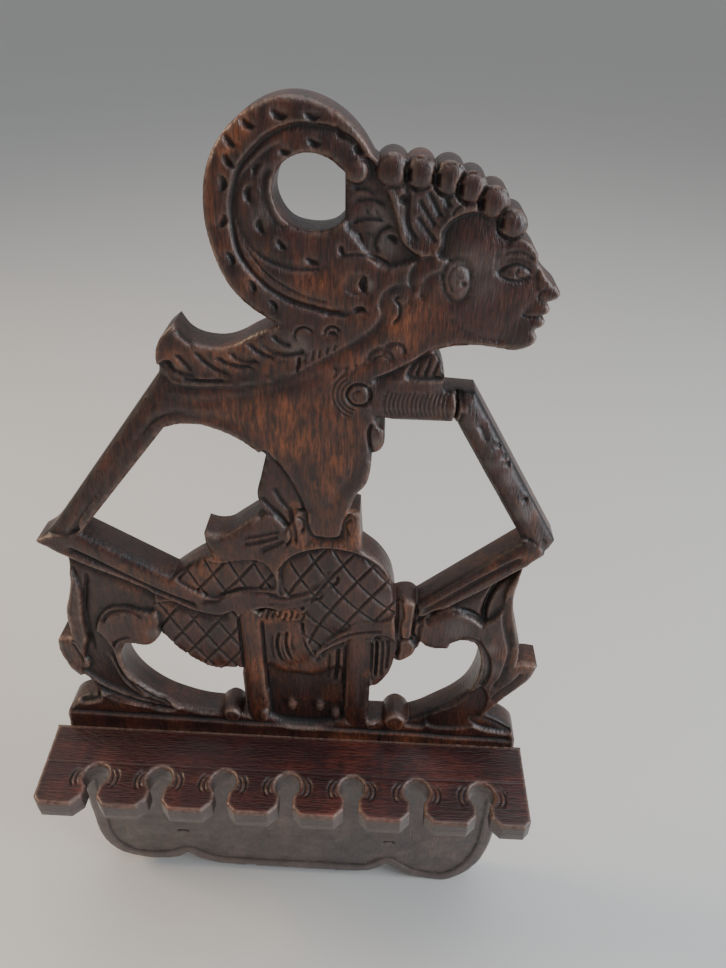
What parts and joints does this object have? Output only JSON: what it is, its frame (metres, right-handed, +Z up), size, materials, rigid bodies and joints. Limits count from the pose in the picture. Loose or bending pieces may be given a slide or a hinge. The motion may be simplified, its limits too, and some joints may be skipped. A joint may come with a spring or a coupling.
{
  "type": "wall rack",
  "caption": "Carved hardwood wall rack: a fretwork board with a figure in profile, and a shelf of keyhole notches that holds pipes by the shank.",
  "frame": {"origin": "under the middle of the rack's box, at the level of the board's foot", "axes": "+X to the side that the figure faces, +Y into the wall, +Z up; the shelf projects towards -Y"},
  "size_m": [0.24, 0.058, 0.4374],
  "materials": {
    "carved_wood": "dark red-brown hardwood, oiled, worn lighter on the high spots",
    "shelf_wood": "the same hardwood, grain along the shelf, worn at the front edge",
    "steel": "plain steel screws",
    "brass": "dulled brass"
  },
  "bodies": {
    "rack": {"figure_board": "carved_wood", "pipe_shelf": "shelf_wood", "shelf_screws": "steel", "hanger_plate": "brass", "hanger_screws": "brass"},
    "hanger_ring": {"hanger_ring": "brass"}
  },
  "joints": [
    {"name": "ring_hinge", "type": "hinge", "parent": "rack", "child": "hanger_ring", "pos_m": [0.012, 0.0259, 0.346], "axis": [1, 0, 0], "range_deg": [0, 180]}
  ]
}
